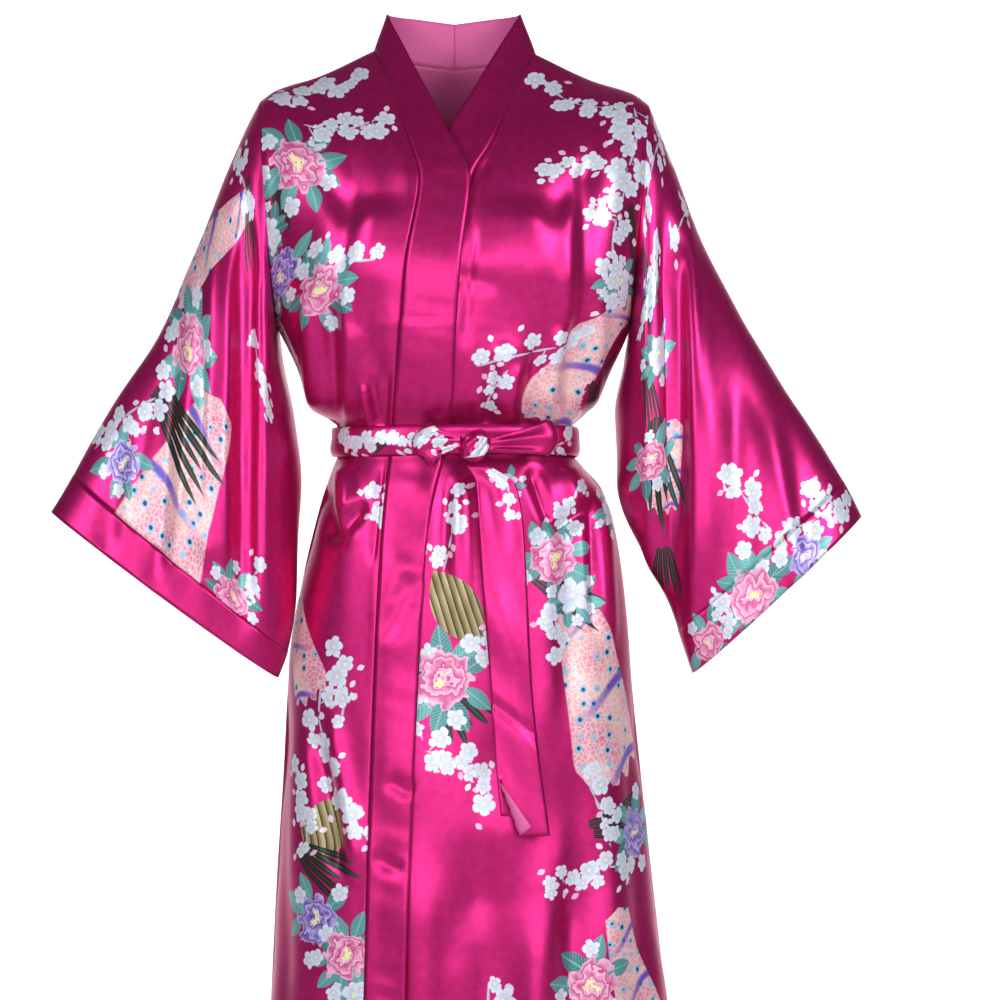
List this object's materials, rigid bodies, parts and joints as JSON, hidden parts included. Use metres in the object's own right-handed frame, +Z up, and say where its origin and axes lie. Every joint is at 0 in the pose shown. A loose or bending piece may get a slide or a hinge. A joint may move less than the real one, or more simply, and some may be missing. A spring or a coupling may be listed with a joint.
{
  "type": "satin kimono robe",
  "caption": "Long satin kimono robe in its worn form, with crossed fronts, wide open sleeves, a stand-up neckband and a sash tied in a bow at the front.",
  "frame": {"origin": "middle of the neck base, level with the top of the shoulder seams, where the wearer's shoulders carry the robe", "axes": "+Z up, the front faces -Y, the wearer's left is +X"},
  "size_m": [0.8767, 0.3132, 1.4013],
  "materials": {
    "printed_satin": "hot magenta charmeuse satin, printed with blossoms, leaves and plumes",
    "band_satin": "hot magenta charmeuse satin, folded double and edge stitched",
    "sash_satin": "hot magenta charmeuse satin strip, folded double"
  },
  "bodies": {
    "root": {"right_back_skirt": "printed_satin", "right_back_bodice": "printed_satin", "right_front_skirt": "printed_satin", "right_front_bodice": "printed_satin", "right_sleeve_front": "printed_satin", "right_sleeve_back": "printed_satin", "left_back_skirt": "printed_satin", "left_back_bodice": "printed_satin", "left_front_skirt": "printed_satin", "left_front_bodice": "printed_satin", "left_sleeve_front": "printed_satin", "left_sleeve_back": "printed_satin", "right_neckband_skirt": "band_satin", "right_neckband_front": "band_satin", "right_neckband_back": "band_satin", "right_cuff_band": "band_satin", "left_neckband_skirt": "band_satin", "left_neckband_front": "band_satin", "left_neckband_back": "band_satin", "left_cuff_band": "band_satin", "sash_wrap": "sash_satin", "sash_knot": "sash_satin", "right_bow_loop": "sash_satin", "left_bow_loop": "sash_satin", "front_sash_end": "sash_satin", "rear_sash_end": "sash_satin"}
  },
  "joints": []
}
